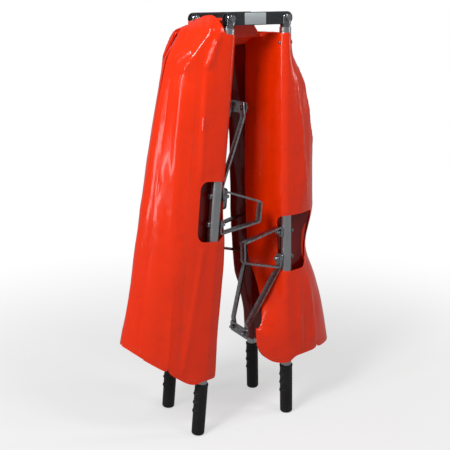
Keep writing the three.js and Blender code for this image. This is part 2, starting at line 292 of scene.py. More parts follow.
def zinc_steel():
    """Zinc-plated steel: patches of crystals, slightly dulled, with fine pits."""
    m = Shader("zinc_steel")
    m.set(Metallic=1.0)
    crystals = m.cells(260, output="Color")
    patches = m.ramp(crystals, (0.2, (0.26, 0.27, 0.29)), (0.8, (0.46, 0.47, 0.50)))
    dull = m.noise(60, 6, 0.65)
    m.drive("Base Color", m.mix(m.ramp(dull, (0.5, 0.0), (0.72, 0.6)), patches, (0.20, 0.19, 0.18)))
    m.drive("Roughness", m.math("MULTIPLY_ADD", dull, 0.35, 0.14))
    m.drive("Normal", m.bump(m.noise(900, 3), 0.18, 0.08))
    return m.material


def dark_chrome():
    """Polished dark plating with faint swirls and thinner, lighter worn spots."""
    m = Shader("dark_chrome")
    m.set(Metallic=1.0)
    wear = m.noise(75, 6, 0.7)
    worn = m.ramp(wear, (0.55, 0.0), (0.75, 0.8))
    m.drive("Base Color", m.mix(worn, (0.28, 0.29, 0.31), (0.46, 0.47, 0.49)))
    m.drive("Roughness", m.math("MULTIPLY_ADD", wear, 0.10, 0.04))
    m.drive("Normal", m.bump(m.noise(350, 4), 0.06, 0.06))
    return m.material


def bar_paint():
    """Black enamel on the hinge bars: orange peel, dust and small chips at random."""
    m = Shader("bar_paint")
    m.set(Coat_Weight=0.6, Coat_Roughness=0.12)
    dust = m.noise(34, 6, 0.7)
    chips = m.ramp(m.noise(190, 5, 0.75), (0.70, 0.0), (0.73, 1.0))
    black = m.mix(dust, (0.010, 0.011, 0.013), (0.030, 0.032, 0.036))
    m.drive("Base Color", m.mix(chips, black, (0.20, 0.19, 0.18)))
    m.drive("Roughness", m.math("MULTIPLY_ADD", dust, 0.25, 0.2))
    m.drive("Normal", m.bump(m.noise(420, 2), 0.16, 0.12, m.bump(chips, 0.2, 0.1)))
    return m.material


def grip_rubber():
    """Moulded black grip: fine leather-like grain and a dusty bloom."""
    m = Shader("grip_rubber")
    m.set(Sheen_Weight=0.04, Sheen_Roughness=0.5, Specular_IOR_Level=0.35)
    bloom = m.noise(26, 6, 0.7)
    dusty = m.ramp(bloom, (0.4, 0.0), (0.8, 0.8))
    m.drive("Base Color", m.mix(dusty, (0.004, 0.004, 0.0045), (0.020, 0.020, 0.019)))
    m.drive("Roughness", m.math("MULTIPLY_ADD", bloom, 0.25, 0.42))
    grain = m.cells(700, "DISTANCE_TO_EDGE")
    m.drive("Normal", m.bump(grain, 0.35, 0.25, m.bump(m.noise(120, 4), 0.2, 0.3)))
    return m.material


def blank_plate():
    """The bare plate on the front bar: satin, with brushing along the bar."""
    m = Shader("blank_plate")
    m.set(Metallic=0.35)
    brushing = m.noise(1.0, 3, 0.6, m.place((20, 900, 900)))
    m.drive("Base Color", m.mix(brushing, (0.42, 0.47, 0.50), (0.62, 0.66, 0.68)))
    m.drive("Roughness", m.math("MULTIPLY_ADD", brushing, 0.2, 0.28))
    m.drive("Normal", m.bump(brushing, 0.1, 0.04))
    return m.material


SEAM_OUT = 75
SEAM_STITCHES = SEAM_OUT - 5
HEM_STITCHES, HEM_WIDTH = 11.0, 13.0
THREAD_PITCH, STITCH_PITCH = 1.1, 4.2
# a stitch shows where its sine wave is above this
STITCH_GAP = -0.35
SEAM_THREAD, HEM_THREAD = 0.55, 0.6


def cover_vinyl():
    """Glossy vinyl-coated cloth: woven grain, crinkles, stitched seams and hems, handled patches, and painted
    shade on its inner layers.
    """
    m = Shader("cover_vinyl")
    m.set(Coat_Weight=0.40, Coat_Roughness=0.06, Specular_IOR_Level=0.30)
    along, across, hem = m.attribute("along_mm"), m.attribute("across_mm"), m.attribute("hem_mm")
    patches = m.noise(9, 6, 0.62)
    base = m.mix(patches, (0.88, 0.026, 0.0003), (0.97, 0.037, 0.0004))
    soiled = m.ramp(m.noise(28, 7, 0.7), (0.52, 0.0), (0.78, 0.35))
    base = m.mix(soiled, base, (0.62, 0.016, 0.001))
    # painted shade: the pockets' inner layers and one sleeve's loose edge are coloured dark maroon to stand
    # for the shade that falls there
    base = m.mix(m.attribute("painted_shade"), base, m.mix(patches, (0.16, 0.002, 0.001), (0.26, 0.004, 0.002)))
    weave_rate = 2 * math.pi / THREAD_PITCH
    warp = m.math("SINE", m.math("MULTIPLY", along, weave_rate))
    weft = m.math("SINE", m.math("MULTIPLY", across, weave_rate))
    weave = m.math("MULTIPLY", warp, weft)
    stitch_rate = 2 * math.pi / STITCH_PITCH
    wave_along = m.math("SINE", m.math("MULTIPLY", along, stitch_rate))
    wave_across = m.math("SINE", m.math("MULTIPLY", across, stitch_rate))
    seam = m.math("COMPARE", across, SEAM_STITCHES, SEAM_THREAD)
    hem_row = m.math("COMPARE", hem, HEM_STITCHES, HEM_THREAD)
    seam_dashes = m.math("MULTIPLY", seam, m.math("GREATER_THAN", wave_along, STITCH_GAP))
    hem_dashes = m.math("MULTIPLY", hem_row, m.math("GREATER_THAN", wave_across, STITCH_GAP))
    stitches = m.math("MAXIMUM", seam_dashes, hem_dashes)
    m.drive("Base Color", m.mix(stitches, base, (0.55, 0.05, 0.02)))
    crinkle = m.noise(70, 5, 0.6, m.place((1, 1, 0.6)), 0.6)
    m.drive("Roughness", m.math("MULTIPLY_ADD", crinkle, 0.20, 0.10))
    folds = m.bump(m.noise(24, 4, 0.5, None, 1.2), 0.45, 3.0)
    fine = m.bump(crinkle, 0.35, 0.9, folds)
    threads = m.bump(weave, 0.12, 0.12, fine)
    double = m.bump(m.math("LESS_THAN", hem, HEM_WIDTH), 0.5, 0.5, threads)
    m.drive("Normal", m.bump(stitches, 0.6, 0.5, double))
    return m.material


MATERIALS = {
    make.__name__: make()
    for make in (aluminium_tube, zinc_steel, dark_chrome, bar_paint, grip_rubber, blank_plate, cover_vinyl)
}


def finish_with(obj, slot):
    obj.data.materials.clear()
    obj.data.materials.append(MATERIALS[slot])


FLOOR_HALF_WIDTH_M = 30
FLOOR_WHITE_FROM_M, FLOOR_WHITE_AT_M = 0.35, 1.6
# how white the floor is drawn close to the object, and how bright it is in reflections
FLOOR_WHITE_NEAR = 0.55
FLOOR_REFLECTED = 0.30


def make_floor():
    """A pale floor that turns white away from the object, and that glossy parts reflect only faintly."""
    w = FLOOR_HALF_WIDTH_M
    mesh = bpy.data.meshes.new("floor")
    mesh.from_pydata([(-w, -w, 0), (w, -w, 0), (w, w, 0), (-w, w, 0)], [], [(0, 1, 2, 3)])
    floor = link(bpy.data.objects.new("floor", mesh))
    m = Shader("floor_paint")
    m.set(Roughness=0.9, Specular_IOR_Level=0.0)
    m.drive("Base Color", m.mix(m.noise(3, 4), (0.80, 0.80, 0.80), (0.84, 0.84, 0.84)))
    white = m.node("Emission")
    dim = m.node("Emission")
    dim.inputs["Strength"].default_value = FLOOR_REFLECTED
    away = m.node("VectorMath", operation="LENGTH")
    m.connect(m.place(), away.inputs[0])
    far = m.node("MapRange", interpolation_type="SMOOTHSTEP")
    m.connect(away.outputs["Value"], far.inputs["Value"])
    far.inputs["From Min"].default_value = FLOOR_WHITE_FROM_M
    far.inputs["From Max"].default_value = FLOOR_WHITE_AT_M
    far.inputs["To Min"].default_value = FLOOR_WHITE_NEAR
    seen = m.node("MixShader")
    m.connect(far.outputs["Result"], seen.inputs[0])
    m.connect(m.principled.outputs[0], seen.inputs[1])
    m.connect(white.outputs[0], seen.inputs[2])
    either = m.node("MixShader")
    m.connect(m.node("LightPath").outputs["Is Camera Ray"], either.inputs[0])
    m.connect(dim.outputs[0], either.inputs[1])
    m.connect(seen.outputs[0], either.inputs[2])
    m.connect(either.outputs[0], m.tree.nodes["Material Output"].inputs["Surface"])
    floor.data.materials.append(m.material)


# ---- Meshes --------------------------------------------------------------------------------
def shade_by_angle(mesh, degrees):
    mesh.polygons.foreach_set("use_smooth", [True] * len(mesh.polygons))
    mesh.set_sharp_from_angle(angle=math.radians(degrees))


def mesh_object(name, vertices, faces, slot, sharp_degrees=40):
    mesh = bpy.data.meshes.new(name)
    mesh.from_pydata([tuple(v) for v in vertices], [], faces)
    mesh.validate()
    shade_by_angle(mesh, sharp_degrees)
    made = link(bpy.data.objects.new(name, mesh))
    finish_with(made, slot)
    return made


def grid_faces(rows, columns, keep=None, wrap=False):
    """Quads of a grid of points; keep says which cells stay."""
    faces = []
    for r in range(rows - 1):
        for c in range(columns if wrap else columns - 1):
            if keep is not None and not keep[r, c]:
                continue
            d = (c + 1) % columns
            faces.append((r * columns + c, r * columns + d, (r + 1) * columns + d, (r + 1) * columns + c))
    return faces


def turned(name, half, across, outline, slot, segments=64, shape=None):
    """A closed body of revolution about a pole: outline is (down, radius) pairs, closed on itself."""
    down, radius = (np.array(v, float)[:, None] for v in zip(*outline))
    angle = np.linspace(0, 2 * np.pi, segments, endpoint=False)[None, :]
    if shape is not None:
        radius = radius + shape(down, angle)
    points = half.place(down, radius * np.cos(angle), across + radius * np.sin(angle))
    faces = grid_faces(len(outline), segments, wrap=True)
    last = (len(outline) - 1) * segments
    faces += [(last + c, last + (c + 1) % segments, (c + 1) % segments, c) for c in range(segments)]
    return mesh_object(name, points.reshape(-1, 3), faces, slot, 35)


def join_meshes(name, parts, slot):
    """One object from (vertices, faces) parts."""
    vertices, faces = [], []
    for part_vertices, part_faces in parts:
        start = len(vertices)
        vertices += [tuple(v) for v in part_vertices]
        faces += [tuple(start + i for i in face) for face in part_faces]
    return mesh_object(name, vertices, faces, slot)


# ---- Poles, grips and the CAD hardware -----------------------------------------------------
POLE_TOP, POLE_END = 20.0, 957.0


def pole(half, row):
    tag = f"{row}_{half.side}"
    across = ROWS[row] * POLE_Y
    wall, chamfer = 1.6, 0.4
    inner = POLE_RADIUS - wall
    outline = [(POLE_TOP, inner + chamfer), (POLE_TOP, POLE_RADIUS - chamfer)]
    outline += [(POLE_TOP + chamfer, POLE_RADIUS)]
    outline += [(down, POLE_RADIUS) for down in np.linspace(60, 920, 12)]
    outline += [(POLE_END, POLE_RADIUS), (POLE_END, inner), (POLE_TOP + chamfer, inner)]
    made = turned("tube_" + tag, half, across, outline, "aluminium_tube")
    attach(made, "pole_" + tag)
    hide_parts("pole_" + tag)


def grip(half, row):
    """A moulded grip: rolled mouth, shallow rings, finger nubs along one side and a rounded end."""
    tag = f"{row}_{half.side}"
    across = ROWS[row] * POLE_Y
    top, tip, radius, rounding = 838.0, 966.0, 15.5, 6.0
    nub_side = math.pi if half.side == "right" else 0.0
    first_nub, nub_pitch, nub_height, nub_length, nub_angle = top + 24, 22, 3.2, 4.2, 0.55
    ring_height, ring_pitch = 0.35, 7.0
    nubs = [first_nub + nub_pitch * i for i in range(3)]
    bore, socket = POLE_RADIUS + 0.25, POLE_END + 0.6
    outline = [(top + 3, bore), (top, bore + 0.6), (top - 0.6, radius - 1.0)]
    outline += [(top, radius + 0.6), (top + 2.5, radius + 0.9)]
    outline += [(top + 5, radius + 0.4), (top + 6.5, radius - 0.5), (top + 8, radius)]
    outline += [(down, radius) for down in np.linspace(top + 10, tip - rounding - 2, 56)]
    outline += [
        (tip - rounding + rounding * math.sin(a), radius - rounding + rounding * math.cos(a))
        for a in np.linspace(0, math.pi / 2, 9)
    ]
    outline += [(tip - 0.8, 6.0), (tip - 1.0, 0.01), (socket, 0.01), (socket, bore)]

    def relief(down, angle):
        wave = np.cos((down - top) * 2 * np.pi / ring_pitch)
        rings = -ring_height * wave * smoothstep((down - top - 10) / 4)
        rings = rings * smoothstep((tip - 12 - down) / 4)
        nub = sum(np.exp(-(((down - n) / nub_length) ** 2)) for n in nubs)
        turned_by = np.mod(angle - nub_side + np.pi, 2 * np.pi) - np.pi
        facing = np.exp(-((turned_by / nub_angle) ** 2))
        return (rings + nub_height * nub * facing) * (down > top + 9)

    made = turned("grip_" + tag, half, across, outline, "grip_rubber", 72, relief)
    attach(made, "pole_" + tag)
    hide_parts("handle_" + tag)


SCREWS_DOWN = (54.0, 803.0)
# how far a screw's washer stands off the sleeve
SCREW_STAND = 0.3
SCREW_SIDES = 20


def cover_screws(half, row):
    """Domed screws with washers, one on each side of the pole at both ends of a sleeve."""
    tag = f"{row}_{half.side}"
    across = ROWS[row] * POLE_Y
    # washer and dome, as (rise, radius)
    section = [(0, 0.0), (0, 5.2), (0.9, 5.2), (0.9, 3.7), (2.0, 3.3), (2.9, 2.1), (3.2, 0.0)]
    parts = []
    for down in SCREWS_DOWN:
        for way in (1, -1):
            rise, radius = (np.array(v)[:, None] for v in zip(*section))
            angle = np.linspace(0, 2 * np.pi, SCREW_SIDES, endpoint=False)[None, :]
            out = way * (SLEEVE_RADIUS + SCREW_STAND + rise)
            points = half.place(down + radius * np.cos(angle), out, across + radius * np.sin(angle))
            parts.append((points.reshape(-1, 3), grid_faces(len(section), SCREW_SIDES, wrap=True)))
    made = join_meshes("cover_screws_" + tag, parts, "zinc_steel")
    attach(made, "pole_" + tag)


# finish and edge radius of the CAD nodes that stay, by the start of their names
CAD_SLOTS = {
    "knuckle": ("dark_chrome", 0.7),
    "hinge_bar": ("bar_paint", 0.8),
    "hinge_bolt": ("zinc_steel", 0.35),
    "bar_label": ("blank_plate", 0.12),
    "foot_bolt": ("zinc_steel", 0.35),
    "foot": ("zinc_steel", 0.6),
    "spreader": ("zinc_steel", 0.6),
    "plate_bolt": ("zinc_steel", 0.3),
}
WELD_WITHIN_M = 0.00001


def dress_hardware():
    """Rounded edges, smooth shading and a finish for the metal nodes that stay as they are."""
    for name, node in frame["nodes"].items():
        kind = next((k for k in CAD_SLOTS if name.startswith(k)), None)
        if kind is None:
            continue
        slot, edge = CAD_SLOTS[kind]
        finish_with(node, slot)
        weld = node.modifiers.new("weld", "WELD")
        weld.merge_threshold = WELD_WITHIN_M
        bevel = node.modifiers.new("edges", "BEVEL")
        bevel.width = edge * MM
        bevel.segments = 3
        bevel.limit_method = "ANGLE"
        bevel.angle_limit = math.radians(35)
        shade_by_angle(node.data, 32)


# ---- The cover's two loops -----------------------------------------------------------------
TOP, BOTTOM = 33.0, 826.0
HALF_WIDTH = (2 * ARM_LENGTH + STRIP_LENGTH) / 2
# how far a loop stands out from its poles, at the heights where its outline changes direction
SHOULDER = 100.0
GATHER, CHEST, BELLY_TOP, BELLY_END, WAIST, FLARE = 75.0, 160.0, 320.0, 440.0, 540.0, 650.0
DEPTH = {
    "left": [(TOP, 75), (SHOULDER, 105), (BOTTOM, 175)],
    "right": [(TOP, 25), (GATHER, 35), (CHEST, 90), (BELLY_TOP, 115), (BELLY_END, 115), (WAIST, 90),
              (FLARE, 130), (BOTTOM, 175)],
}
# each sleeve's window: top and bottom edge down the pole, how far it opens inwards from the sleeve's
# front, and how far outwards at its top and at its bottom
WINDOW = {
    ("left", "front"): (354.0, 492.0, 24.0, 46.0, 46.0),
    ("left", "back"): (354.0, 492.0, 24.0, 46.0, 46.0),
    ("right", "front"): (454.0, 592.0, 34.0, 92.0, 58.0),
    ("right", "back"): (454.0, 592.0, 24.0, 46.0, 46.0),
}
# where the pleat lies, as a share of the way from the pole to the nose of the loop
PLEAT_SHARE = {
    ("left", "front"): [(TOP, 0.80), (230, 0.80), (BOTTOM, 0.70)],
    ("left", "back"): [(TOP, 0.62), (BOTTOM, 0.62)],
    ("right", "front"): [(TOP, 0.42), (120, 0.50), (400, 0.66), (BOTTOM, 0.74)],
    ("right", "back"): [(TOP, 0.50), (400, 0.62), (BOTTOM, 0.66)],
}
# how far the loose edge of a sleeve stands inwards from its pole's axis, by distance down
SLACK = {
    ("left", "front"): [(33, 16), (120, 17), (340, 17), (420, 20), (500, 30), (560, 33), (826, 34)],
    ("left", "back"): [(33, 16), (350, 20), (500, 28), (826, 32)],
    ("right", "front"): [(33, 40), (60, 58), (440, 62), (560, 60), (600, 52), (660, 46), (735, 62),
                         (770, 80), (826, 84)],
    ("right", "back"): [(33, 48), (80, 52), (420, 50), (640, 44), (700, 30), (760, 20), (826, 20)],
}
# how far that edge leans towards the middle of the stretcher, by distance down
LEAN = {
    ("left", "front"): [(33, 0), (826, 0)],
    ("left", "back"): [(33, 0), (826, 0)],
    ("right", "front"): [(33, 55), (60, 78), (440, 82), (560, 78), (640, 55), (735, 14), (826, 0)],
    ("right", "back"): [(33, -10), (600, -14), (826, 0)],
}
# how far the bottom hem lies below the sleeve's end (above it where negative), by distance out
HEM_DROP = {
    ("left", "front"): [(-40, 0), (0, 0), (24, 8), (92, -24), (176, -72)],
    ("left", "back"): [(-40, 0), (0, 0), (24, 8), (92, -24), (176, -72)],
    ("right", "front"): [(-86, -62), (-72, -26), (-34, -2), (0, 2), (20, -10), (80, -12), (176, -10)],
    ("right", "back"): [(-60, -60), (-30, -20), (0, 0), (40, -6), (176, -10)],
}
# as shares: a fold's steep side of its gentle side, and its height where the cloth lies in a pocket
FOLD_STEEPNESS = 0.3
POCKET_FOLD_HEIGHT = 0.3
# folds begin this far off the sleeve, and take this distance to reach their full height
FOLD_FREE, FOLD_FADE = 3.0, 22.0
SIDE_SEED = {"left": 3.1, "right": 9.7}
ROW_SEED = {"front": 0.0, "back": 17.3}
# folds drawn into the cloth: from (across, down) to (across, down), height and width of the gentle side
CREASES = {
    ("left", "front"): [
        ((40, 20), (106, 124), 9.0, 15.0),
        ((24, 24), (52, 112), 8.0, 11.0),
        ((8, 46), (22, 92), 3.0, 5.0),
        ((84, 70), (134, 98), 6.0, 10.0),
        ((52, 108), (48, 356), 5.0, 12.0),
        ((104, 118), (104, 640), 5.5, 20.0),
        ((30, 500), (58, 810), 4.0, 18.0),
        ((84, 480), (96, 800), 4.0, 16.0),
    ],
    ("left", "back"): [((60, 30), (140, 160), 6.0, 12.0), ((70, 120), (66, 700), 5.0, 14.0)],
    ("right", "front"): [
        ((-50, 44), (-56, 430), -6.0, 16.0),
        ((-24, 60), (-22, 300), 3.5, 10.0),
        ((-60, 70), (-30, 110), 3.5, 6.0),
        ((20, 60), (62, 440), 5.0, 12.0),
        ((36, 60), (100, 300), 5.0, 14.0),
        ((26, 606), (40, 810), 5.0, 12.0),
        ((64, 606), (88, 800), 5.0, 16.0),
    ],
    ("right", "back"): [((60, 30), (90, 200), 5.0, 12.0), ((64, 200), (70, 780), 5.0, 14.0)],
}


def base_curve(depth, count=181):
    """Half of the loop, seen along the poles: from the front sleeve out to the nose of the loop."""
    angle = np.linspace(0, np.pi / 2, count)
    out = depth * np.sin(angle)
    across = -(POLE_Y + SLEEVE_RADIUS) * np.cos(angle)
    length = np.concatenate([[0], np.cumsum(np.hypot(np.diff(out), np.diff(across)))])
    return length, out, across


def on_curve(curve, at, inset):
    """Points at lengths along a base curve, moved towards the inside of the loop by inset."""
    length, out, across = curve
    at = np.asarray(at, float)
    ahead, behind = np.minimum(at + 1, length[-1]), np.maximum(at - 1, 0)
    o, y = np.interp(at, length, out), np.interp(at, length, across)
    run_o = np.interp(ahead, length, out) - np.interp(behind, length, out)
    run_y = np.interp(ahead, length, across) - np.interp(behind, length, across)
    run = np.hypot(run_o, run_y) + 1e-9
    return o - inset * run_y / run, y + inset * run_o / run


# columns of the grid: inner layer, round the pole, to the seam, to the pleat, its tuck, to the nose
LAYER_COLUMNS, WRAP_COLUMNS, SEAM_COLUMNS = 13, 23, 19
PLEAT_COLUMNS, TUCK_COLUMNS, NOSE_COLUMNS = 10, 14, 26
LAYER_GAP = 4.2
POCKET_GAP = 1.6
# the seam's furthest place as a share of the way to the nose, and the pleat's least distance beyond it
SEAM_SHARE = 0.62
PLEAT_BEYOND_SEAM = 6


def loop_section(half, row, down):
    """The cover's cross-section at one height, from the pocket's inner seam round the pole to the nose.

    Gives out, across (for the front row) and the share of the way to the nose, one value per column.
    """
    depth = float(profile(DEPTH[half.side], down))
    curve = base_curve(depth)
    total = curve[0][-1]
    seam = min(SEAM_OUT, SEAM_SHARE * total)
    slack = float(profile(SLACK[half.side, row], down))
    # inner layer of the pocket, from the seam back to the pole
    t = np.linspace(0, 1, LAYER_COLUMNS)
    seam_o, seam_y = on_curve(curve, seam, POCKET_GAP)
    pole_in = -POLE_Y + SLEEVE_RADIUS
    layer_o = seam_o + (2.0 - seam_o) * t
    layer_y = seam_y + (pole_in - seam_y) * t + 5.0 * np.sin(np.pi * t) * (1 - t)
    # round the pole's inner side, pulled out to a loose edge where the sleeve is slack
    turn = np.linspace(np.pi / 2, -np.pi / 2, WRAP_COLUMNS + 2)[1:-1]
    pull = max(slack - SLEEVE_RADIUS, 0)
    wrap_o = -SLEEVE_RADIUS * np.cos(turn) - pull * np.cos(turn) ** 3
    lean = float(profile(LEAN[half.side, row], down))
    wrap_y = -POLE_Y + SLEEVE_RADIUS * np.sin(turn) + lean * np.cos(turn) ** 3
    from_axis = np.hypot(wrap_o, wrap_y + POLE_Y)
    clear = np.maximum(from_axis, SLEEVE_RADIUS + 1.0 * np.cos(turn)) / from_axis
    wrap_o = wrap_o * clear
    wrap_y = -POLE_Y + (wrap_y + POLE_Y) * clear
    # outer layer to the seam, then the pleat's tuck, then on to the nose
    outer = np.linspace(0, seam, SEAM_COLUMNS)
    outer_o, outer_y = on_curve(curve, outer, 0.0)
    pleat = max(float(profile(PLEAT_SHARE[half.side, row], down)) * total, seam + PLEAT_BEYOND_SEAM)
    tuck = float(np.clip((HALF_WIDTH - total) / 2, 5.0, 0.8 * (pleat - seam) + 12))
    first = np.linspace(seam, pleat, PLEAT_COLUMNS)[1:]
    back_layer = np.linspace(pleat, pleat - tuck, TUCK_COLUMNS)[1:-1]
    forward = np.linspace(pleat - tuck, total, NOSE_COLUMNS)
    settle = LAYER_GAP * 2 * smoothstep((total - forward) / (total - pleat + tuck + 1e-6) * 1.6)
    parts = [on_curve(curve, first, 0.0), on_curve(curve, back_layer, LAYER_GAP)]
    parts.append(on_curve(curve, forward, settle))
    out = np.concatenate([layer_o, wrap_o, outer_o] + [p[0] for p in parts])
    across = np.concatenate([layer_y, wrap_y, outer_y] + [p[1] for p in parts])
    share = np.concatenate([np.full(POCKET_COLUMNS, -1.0), outer, first, back_layer, forward]) / total
    return out, across, share


WRAP_START = LAYER_COLUMNS
POCKET_COLUMNS = WRAP_START + WRAP_COLUMNS
SIDE_COLUMNS = POCKET_COLUMNS + SEAM_COLUMNS + 1
ROW_STEP = 5.0
HEM_SWAY_FROM = 560
# the wing that no joint ties to its pole
OPEN_PIVOT_WING = "cover_wing_back_right"
# the one sleeve whose loose edge gets painted shade as a dark maroon colour, and how many columns of it do
PAINTED_SHADE_SLEEVE = ("right", "back")
PAINTED_SHADE_COLUMNS = 12


def rows_down(half):
    """Distances down of the grid's rows, with a row on each edge of the window."""
    window_top, window_bottom = WINDOW[half.side, "front"][:2]
    spans = [(TOP, window_top), (window_top, window_bottom), (window_bottom, BOTTOM)]
    rows = [np.linspace(a, b, int(round((b - a) / ROW_STEP)) + 1) for a, b in spans]
    return np.concatenate([rows[0], rows[1][1:], rows[2][1:]])


def wrinkle(side, row, across_mm, down, pocket):
    """Height of the cloth's own folds, in millimetres, at a width and a height on the sheet."""
    seed = SIDE_SEED[side] + ROW_SEED[row]
    x, z = across_mm, down
    # each noise is divided by its wave lengths across and down the cloth
    broad = noise.noise(Vector((x / 85, z / 210, seed)))
    lean = noise.noise(Vector((x / 60 + z / 95, z / 300 - x / 400, seed + 5)))
    upright = noise.noise(Vector((x / 15, z / 330, seed + 11)))
    ridges_at = Vector((x / 70 + z / 160, z / 120, seed + 20))
    sharp = noise.ridged_multi_fractal(ridges_at, 0.9, 2.1, 3, 1.0, 2.0)
    near_top = math.exp(-max(z - TOP, 0) / 110)
    height = 3.4 * broad + 2.0 * lean + 1.0 * upright + 0.6 * (sharp - 1) + near_top * 4.0 * lean
    for start, end, rise, spread in CREASES[side, row]:
        run_x, run_z = end[0] - start[0], end[1] - start[1]
        at = ((x - start[0]) * run_x + (z - start[1]) * run_z) / (run_x**2 + run_z**2)
        if -0.1 < at < 1.1:
            off = ((x - start[0]) * run_z - (z - start[1]) * run_x) / math.hypot(run_x, run_z)
            width = spread if off < 0 else FOLD_STEEPNESS * spread
            height += rise * math.exp(-abs(off) / width) * max(0.0, 1 - abs(2 * at - 1) ** 5)
    return height * (POCKET_FOLD_HEIGHT if pocket else 1.0)


def loop_grid(half, row):
    """Points, and the attributes of each point, for the cloth from a pole to the nose of its loop."""
    rows = rows_down(half)
    sections = [loop_section(half, row, down) for down in rows]
    out = np.array([s[0] for s in sections])
    across = np.array([s[1] for s in sections])
    down = np.repeat(rows[:, None], out.shape[1], 1)
    reach = smoothstep((down - HEM_SWAY_FROM) / (BOTTOM - HEM_SWAY_FROM))
    down = down + reach * profile(HEM_DROP[half.side, row], out)
    step = np.hypot(np.diff(out, axis=1), np.diff(across, axis=1))
    width = np.concatenate([np.zeros((len(rows), 1)), np.cumsum(step, axis=1)], axis=1)
    start = POCKET_COLUMNS
    passed = width - width[:, start : start + 1]
    # the cloth's own folds push it along the section's normal
    run_o = np.gradient(out, axis=1)
    run_y = np.gradient(across, axis=1)
    run = np.hypot(run_o, run_y) + 1e-9
    height = np.zeros(out.shape)
    for r in range(out.shape[0]):
        for c in range(out.shape[1]):
            height[r, c] = wrinkle(half.side, row, passed[r, c], down[r, c], c < WRAP_START)
    from_pole = np.hypot(out, across + POLE_Y)
    height *= smoothstep((from_pole - SLEEVE_RADIUS - FOLD_FREE) / FOLD_FADE)
    pushed_out = out + height * run_y / run
    pushed_across = across - height * run_o / run
    if row == "back":
        pushed_across = -pushed_across
    points = half.place(down, pushed_out, pushed_across)
    to_hem = np.minimum(down - down[:1] + CROWN_HEM, down[-1:] - down)
    # painted shade: marks the pocket's inner layer, and the loose edge of one sleeve, to be coloured dark
    # maroon for the shade that falls there
    painted_shade = np.zeros(out.shape)
    shaded_columns = PAINTED_SHADE_COLUMNS if (half.side, row) == PAINTED_SHADE_SLEEVE else 0
    painted_shade[:, : WRAP_START + shaded_columns] = 1.0
    attributes = {"along_mm": down, "across_mm": passed, "hem_mm": to_hem, "painted_shade": painted_shade}
    if half.side == "left":
        points, attributes = add_crown(half, row, points, attributes, sections[0][2])
    return points, attributes, rows


CROWN_ROWS = 12
CROWN_HEM = 60.0
CROWN_START = 0.10
CROWN_FRONT = [(0.0, 26, -58, -6), (0.35, 33, -34, -4), (0.7, 45, -14, 6), (1.0, 58, 0, 17)]
CROWN_BACK = [(0.62, 66, 50, 31), (1.0, 58, 0, 17)]
# from the ridge to where the cloth goes on beneath the crossing: down, out, across
CROWN_BEYOND = (16, -7, 15)
CROWN_LEAVE, CROWN_ARRIVE = 1.1, 0.5
CROWN_LIP_RISE = 3 * MM


def crown_ridge(row, share):
    """Where the cloth turns over towards the crossing: out, across, down, by share of the way to the nose."""
    knots = CROWN_FRONT if row == "front" else CROWN_BACK
    first = CROWN_START if row == "front" else 0.0
    at = (np.clip(share, 0, 1) - first) / (1 - first)
    return [profile([(k[0], k[i]) for k in knots], at) for i in (1, 2, 3)]


def add_crown(half, row, points, attributes, share):
    """Rows above the left loop's top edge, where the cloth is drawn up and over between the hinge bars."""
    out, across, down = crown_ridge(row, share)
    ridge = half.place(down, out, across)
    beyond = half.place(down + CROWN_BEYOND[0], out + CROWN_BEYOND[1], across + CROWN_BEYOND[2])
    edge, below = points[0], points[4]
    rise = np.linalg.norm(ridge - edge, axis=1)[:, None]
    upward = (edge - below) / (np.linalg.norm(edge - below, axis=1)[:, None] + 1e-9)
    leave = upward * rise * CROWN_LEAVE
    arrive = np.array([0.0, 1.0, 0.35]) * rise * CROWN_ARRIVE
    t = np.linspace(1, 0, CROWN_ROWS)[:-1, None, None]
    sheet = (
        (2 * t**3 - 3 * t**2 + 1) * edge
        + (t**3 - 2 * t**2 + t) * leave
        + (3 * t**2 - 2 * t**3) * ridge
        + (t**3 - t**2) * arrive
    )
    over = np.array([0.75, 0.4])[:, None, None]
    lip = ridge + over * (beyond - ridge) + np.array([0, 0, 1]) * CROWN_LIP_RISE * (1 - over)
    grown = np.concatenate([lip, sheet, points])
    extra = len(grown) - len(points)
    widened = {}
    for key, values in attributes.items():
        first_row = values[:1] - (np.arange(extra, 0, -1)[:, None] * ROW_STEP if key == "along_mm" else 0.0)
        widened[key] = np.concatenate([np.broadcast_to(first_row, (extra, values.shape[1])), values])
    return grown, widened


WINDOW_CORNER = 20.0
WINDOW_COLUMNS = range(WRAP_START + 8, SIDE_COLUMNS + 9)


def window_keep(half, row, rows, attributes):
    """Cells of the grid that the window leaves standing: it opens the outer layer round the pole."""
    window_top, window_bottom, reach_in, out_at_top, out_at_bottom = WINDOW[half.side, row]
    crown_share = loop_section(half, row, TOP)[2][:-1]
    passed = attributes["across_mm"]
    keep = np.ones((passed.shape[0] - 1, passed.shape[1] - 1), bool)
    extra = len(passed) - len(rows)
    if extra:
        keep[:extra] = crown_share >= (CROWN_START if row == "front" else CROWN_BACK[0][0])
    for r in range(extra, keep.shape[0]):
        mid_down = (rows[r - extra] + rows[r - extra + 1]) / 2
        for c in WINDOW_COLUMNS:
            mid = (passed[r, c] + passed[r, c + 1]) / 2
            inside_down = min(mid_down - window_top, window_bottom - mid_down)
            share_down = (mid_down - window_top) / (window_bottom - window_top)
            reach_out = out_at_top + (out_at_bottom - out_at_top) * share_down
            inside_across = min(reach_out - mid, mid + reach_in)
            if inside_down < 0 or inside_across < 0:
                continue
            from_corner = (WINDOW_CORNER - inside_down, WINDOW_CORNER - inside_across)
            if min(from_corner) > 0 and math.hypot(*from_corner) > WINDOW_CORNER:
                continue
            keep[r, c] = False
    return keep


